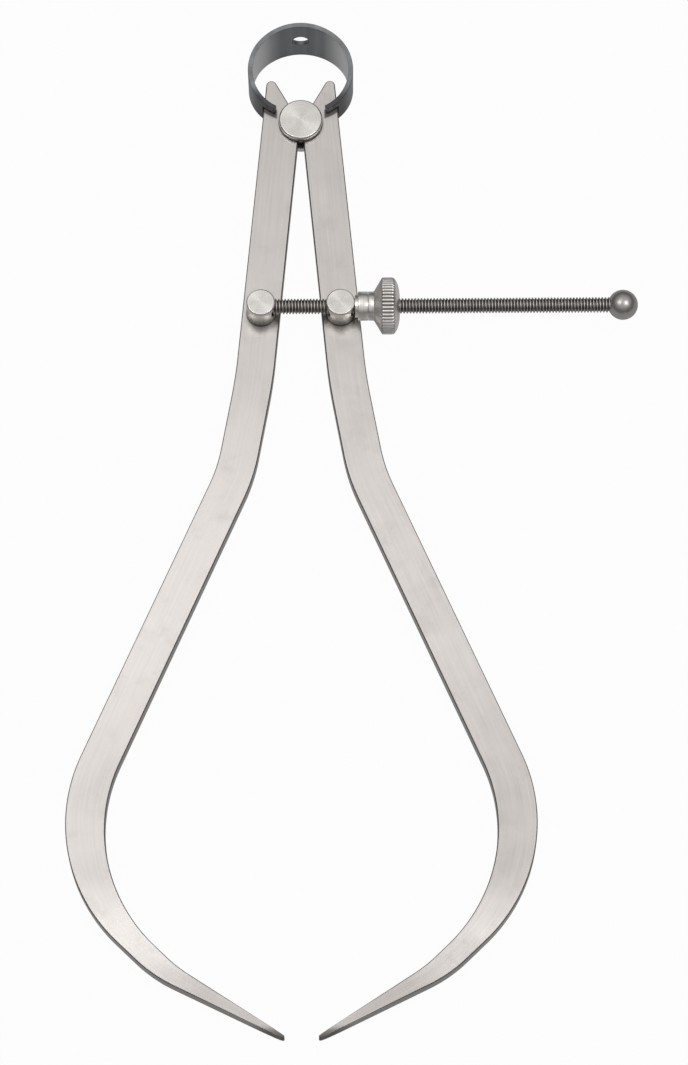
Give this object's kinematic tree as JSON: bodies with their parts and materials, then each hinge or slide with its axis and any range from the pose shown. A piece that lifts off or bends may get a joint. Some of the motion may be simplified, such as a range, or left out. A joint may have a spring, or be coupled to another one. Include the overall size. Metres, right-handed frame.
{
  "type": "outside spring caliper",
  "caption": "Outside spring caliper: bowed steel legs on a grooved fulcrum roller, held by a forked bow spring and set by a knurled nut on a cross screw.",
  "frame": {"origin": "centre of the hang hole, at the outside of the bow's crown", "axes": "+Y out of the hang hole along the middle plane, with the tips towards -Y; +Z square to the legs, towards the screw; +X along the screw to its ball"},
  "size_m": [0.1777, 0.3352, 0.0261],
  "materials": {
    "leg_steel": "satin stainless steel, brushed lengthwise",
    "turned_steel": "turned stainless steel with fine tool rings",
    "spring_steel": "hardened spring steel, dark grey oxide",
    "black_steel": "blackened steel, threaded",
    "polished_steel": "polished steel ball"
  },
  "bodies": {
    "head": {"fulcrum_roller": "turned_steel", "bow_spring": "spring_steel"},
    "left_leg": {"left_leg": "leg_steel"},
    "right_leg": {"right_leg": "leg_steel"},
    "screw_post": {"screw_stud": "turned_steel", "screw_stud_washer": "turned_steel", "adjusting_screw": "black_steel", "ball_stop": "polished_steel"},
    "nut_post": {"nut_stud": "turned_steel", "nut_stud_washer": "turned_steel", "thrust_washer": "turned_steel"},
    "nut": {"adjusting_nut": "turned_steel"}
  },
  "joints": [
    {"name": "nut_turn", "type": "hinge", "parent": "nut_post", "child": "nut", "pos_m": [0.01258, -0.0998, 0.0074], "axis": [1, 0, 0], "range_deg": [-736, 22307]},
    {"name": "left_leg_pivot", "type": "hinge", "parent": "head", "child": "left_leg", "pos_m": [0, -0.0324, 0], "axis": [0, 0, -1], "range_deg": [-0.95, 28.77], "deforming": ["bow_spring"]},
    {"name": "right_leg_pivot", "type": "hinge", "parent": "head", "child": "right_leg", "pos_m": [0, -0.0324, 0], "axis": [0, 0, 1], "range_deg": [-0.95, 28.77], "deforming": ["bow_spring"]},
    {"name": "screw_stud_swivel", "type": "hinge", "parent": "left_leg", "child": "screw_post", "pos_m": [-0.01258, -0.0998, 0], "axis": [0, 0, 1], "range_deg": [-0.95, 28.77]},
    {"name": "nut_stud_swivel", "type": "hinge", "parent": "right_leg", "child": "nut_post", "pos_m": [0.01258, -0.0998, 0], "axis": [0, 0, -1], "range_deg": [-0.95, 28.77]}
  ],
  "couplings": [
    {"joint": "left_leg_pivot", "follows": "nut_turn", "ratio": 0.0012897},
    {"joint": "right_leg_pivot", "follows": "nut_turn", "ratio": 0.0012897},
    {"joint": "screw_stud_swivel", "follows": "nut_turn", "ratio": 0.0012897},
    {"joint": "nut_stud_swivel", "follows": "nut_turn", "ratio": 0.0012897}
  ]
}
